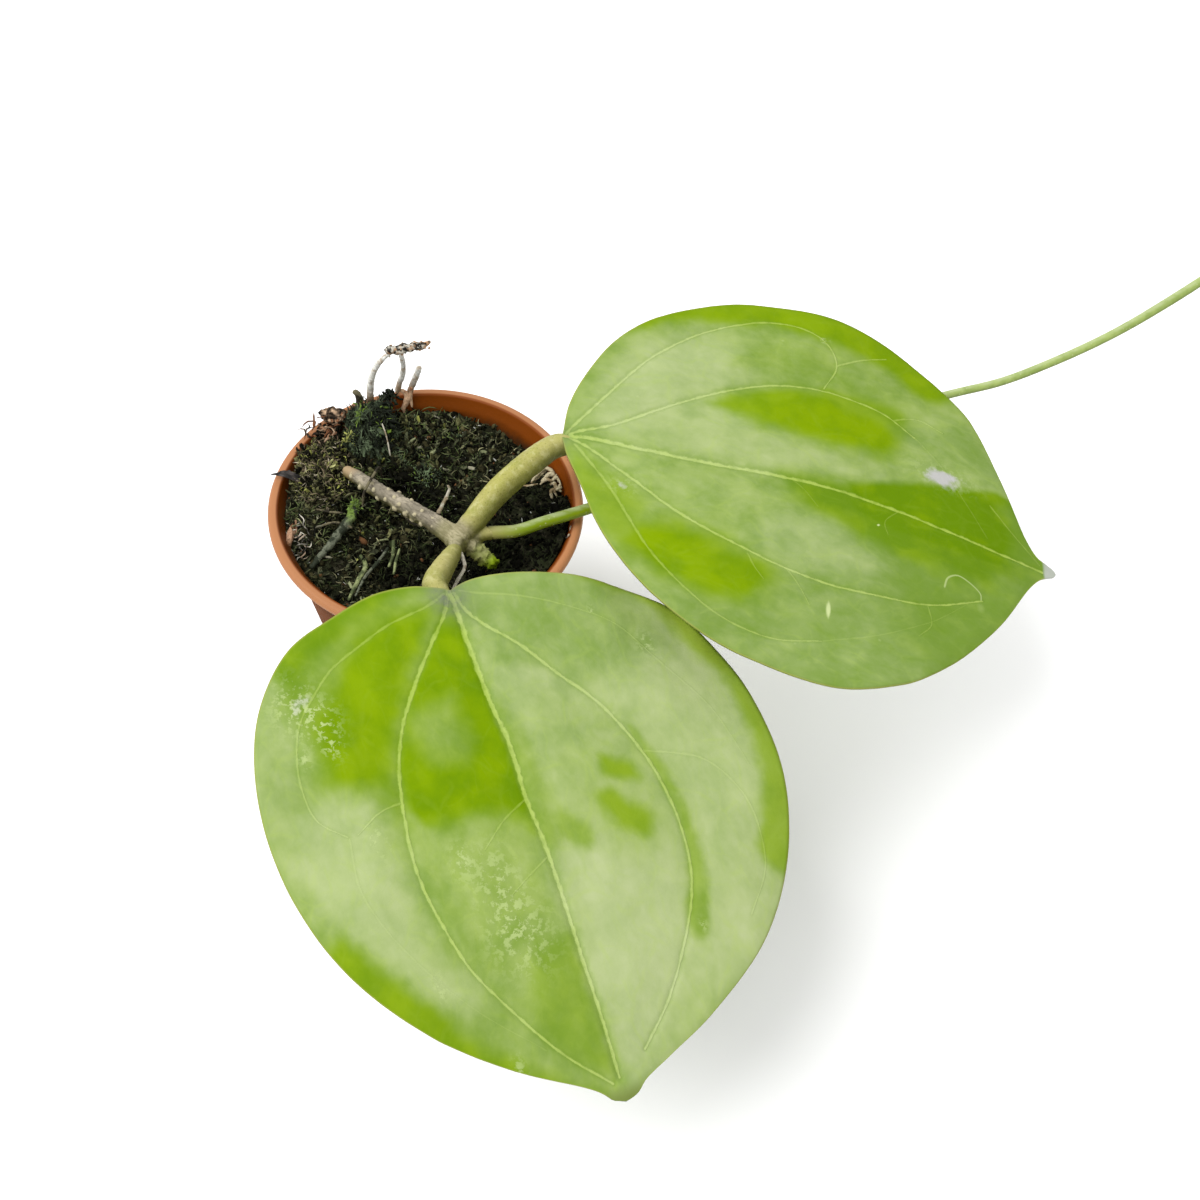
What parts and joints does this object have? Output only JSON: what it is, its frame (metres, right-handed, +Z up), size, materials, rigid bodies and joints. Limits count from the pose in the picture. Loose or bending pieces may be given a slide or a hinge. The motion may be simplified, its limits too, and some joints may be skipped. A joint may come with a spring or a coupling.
{
  "type": "potted hoya plant with two large leaves and a climbing shoot",
  "caption": "Climbing houseplant cutting in a small round plastic nursery pot, with broad glossy leaves on stout stalks and one long thin climbing shoot.",
  "frame": {"origin": "middle of the pot's underside, on the surface that it stands on", "axes": "+Z up along the pot's axis, +X along the right leaf, the front leaf lies towards -Y"},
  "size_m": [0.3028, 0.2899, 0.1096],
  "materials": {
    "pot_plastic": "satin moulded plastic, terracotta colour",
    "growing_mix": "damp dark fibrous mix",
    "woody_stem": "dull grey-brown bark with pale bumps",
    "petiole": "dull olive skin with fine speckle",
    "leaf": "waxy gloss with lighter veins",
    "green_shoot": "satin green",
    "pale_root": "dry pale root",
    "dark_root": "dry dark root",
    "green_root": "damp pale green root",
    "moss": "soft matted moss",
    "bark_chip": "rough brown bark",
    "dry_leaf": "dark dry leaf"
  },
  "bodies": {
    "root": {"pot": "pot_plastic", "growing_mix": "growing_mix", "main_stem": "woody_stem", "petiole_right": "petiole", "petiole_front": "petiole", "leaf_right": "leaf", "leaf_front": "leaf", "vine": "green_shoot", "side_bud": "green_shoot", "aerial_root_upright": "pale_root", "aerial_root_side": "pale_root", "aerial_root_curled": "pale_root", "stem_ring_root": "dark_root", "mossy_twig": "moss", "surface_root_front": "green_root", "surface_root_middle": "green_root", "dry_root_left": "pale_root", "dry_root_middle": "pale_root", "dry_root_short": "pale_root", "dry_hook": "dark_root", "inner_wall_root": "bark_chip", "crumb_bridge": "bark_chip", "rim_crumb": "bark_chip", "bark_chip_left": "bark_chip", "leaf_fragment": "dry_leaf", "moss_clump_back": "moss", "moss_clump_left": "moss", "moss_pad": "moss", "root_tangle_base": "pale_root"}
  },
  "joints": []
}
